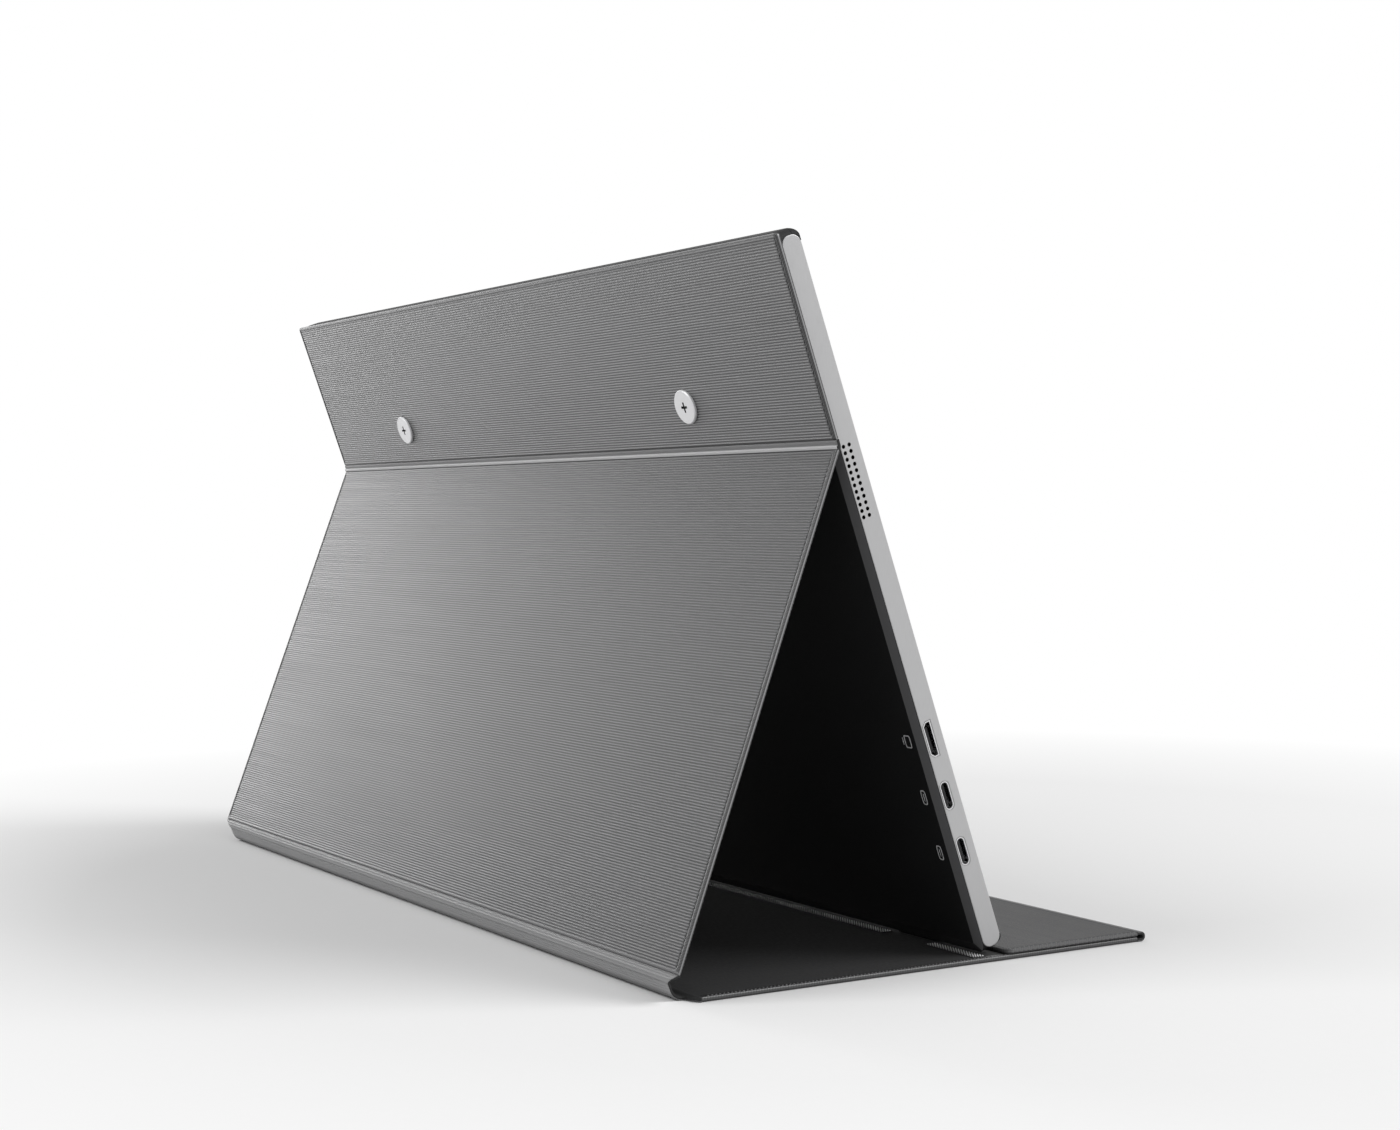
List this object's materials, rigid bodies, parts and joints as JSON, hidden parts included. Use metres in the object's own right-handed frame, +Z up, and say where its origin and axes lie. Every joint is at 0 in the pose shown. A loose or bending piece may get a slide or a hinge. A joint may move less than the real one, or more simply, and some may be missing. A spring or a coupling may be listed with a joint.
{
  "type": "portable monitor with folding cover stand",
  "caption": "Slim portable monitor with metal side rails, side sockets and keys, propped up by its own folding stiffened fabric cover.",
  "frame": {"origin": "middle of the footprint, on the surface that the cover's base panel lies on", "axes": "+X along the screen's width, from the socket side to the key side; +Y from the screen towards the propped rear; +Z up"},
  "size_m": [0.362, 0.174, 0.216],
  "materials": {
    "shell_plastic": "fine moulded grain",
    "bezel_plastic": "fine moulded grain",
    "rail_metal": "bead-blasted and anodised light grey",
    "socket_metal": "nickel plated",
    "contact_plastic": "moulded tongue",
    "jack_plastic": "moulded",
    "button_plastic": "painted to match the rail",
    "bracket_plastic": "moulded",
    "switch_plastic": "moulded",
    "board_green": "solder mask over glass laminate",
    "ribbon_film": "printed film",
    "small_steel": "zinc plated",
    "speaker_plastic": "moulded",
    "gasket_foam": "closed-cell foam",
    "insert_brass": "knurled sleeve",
    "screw_steel": "satin nickel disc",
    "magnet_metal": "nickel plated",
    "foot_rubber": "matte",
    "screen_glass": "anti-glare, switched off",
    "light_films": "clear film",
    "led_board": "white strip",
    "reflector_white": "white film",
    "chassis_steel": "pressed sheet",
    "chip_black": "moulded",
    "pad_grey": "soft silicone",
    "shield_steel": "tinned sheet",
    "cover_fabric": "grey coated cloth with fine cross ribs",
    "fold_fabric": "grey coated cloth, smooth at the folds",
    "stiffener_board": "pressed fibre board",
    "lining_fabric": "black brushed cloth",
    "tape_foam": "adhesive foam tape",
    "grip_rubber": "cross-ribbed strip"
  },
  "bodies": {
    "monitor": {"rear_shell": "shell_plastic", "front_bezel": "bezel_plastic", "port_rail": "rail_metal", "button_rail": "rail_metal", "video_socket": "socket_metal", "upper_usb_socket": "socket_metal", "lower_usb_socket": "socket_metal", "socket_tongues": "contact_plastic", "headphone_jack": "jack_plastic", "rocker_bracket": "bracket_plastic", "tact_switches": "switch_plastic", "driver_board": "board_green", "main_board": "board_green", "key_board": "board_green", "display_ribbon": "ribbon_film", "key_ribbon": "ribbon_film", "speaker_flexes": "ribbon_film", "board_screws": "small_steel", "rail_screws": "small_steel", "left_speaker": "speaker_plastic", "right_speaker": "speaker_plastic", "speaker_gaskets": "gasket_foam", "screw_inserts": "insert_brass", "cover_screws": "screw_steel", "shell_magnets": "magnet_metal", "monitor_feet": "foot_rubber", "display_cell": "screen_glass", "optical_films": "light_films", "light_guide": "light_films", "led_strip": "led_board", "reflector_sheet": "reflector_white", "panel_chassis": "chassis_steel", "scaler_chip": "chip_black", "thermal_pad": "pad_grey", "shield_can": "shield_steel", "upper_panel_skin": "cover_fabric", "crease_fold": "fold_fabric", "upper_panel_board": "stiffener_board", "upper_panel_lining": "lining_fabric", "cover_tape": "tape_foam"},
    "power_button": {"power_button": "button_plastic"},
    "menu_rocker": {"menu_rocker": "button_plastic"},
    "leg": {"leg_skin": "cover_fabric", "leg_board": "stiffener_board", "leg_lining": "lining_fabric", "leg_magnets": "magnet_metal", "leg_hem": "fold_fabric"},
    "spine": {"spine_skin": "fold_fabric", "spine_lining": "lining_fabric"},
    "base": {"base_skin": "cover_fabric", "base_board": "stiffener_board", "base_lining": "lining_fabric", "base_hem": "fold_fabric", "grip_strips": "grip_rubber", "front_roll": "fold_fabric"},
    "flap": {"flap_skin": "cover_fabric", "flap_board": "stiffener_board", "flap_lining": "lining_fabric", "flap_magnets": "magnet_metal"}
  },
  "joints": [
    {"name": "leg_fold", "type": "hinge", "parent": "monitor", "child": "leg", "pos_m": [0, 0.03186, 0.1541], "axis": [-1, 0, 0], "range_deg": [0, 39.88]},
    {"name": "spine_fold", "type": "hinge", "parent": "leg", "child": "spine", "pos_m": [0, 0.08622, 0.0062], "axis": [-1, 0, 0], "range_deg": [-39.88, 0]},
    {"name": "base_fold", "type": "hinge", "parent": "spine", "child": "base", "pos_m": [0, 0.08034, 0.00075], "axis": [1, 0, 0], "range_deg": [0, 75]},
    {"name": "flap_fold", "type": "hinge", "parent": "base", "child": "flap", "pos_m": [0, -0.08542, 0.00155], "axis": [1, 0, 0], "range_deg": [0, 180]},
    {"name": "power_press", "type": "slide", "parent": "monitor", "child": "power_button", "axis": [-1, 0, 0], "range_m": [0, 0.00035], "stiffness_N_per_m": 2000},
    {"name": "menu_rock", "type": "hinge", "parent": "monitor", "child": "menu_rocker", "pos_m": [0.1749, -0.00978, 0.05101], "axis": [0, 0.9415, -0.3371], "range_deg": [-2.2, 2.2], "stiffness_Nm_per_rad": 0.05}
  ],
  "couplings": [
    {"joint": "spine_fold", "follows": "leg_fold", "ratio": -1}
  ]
}
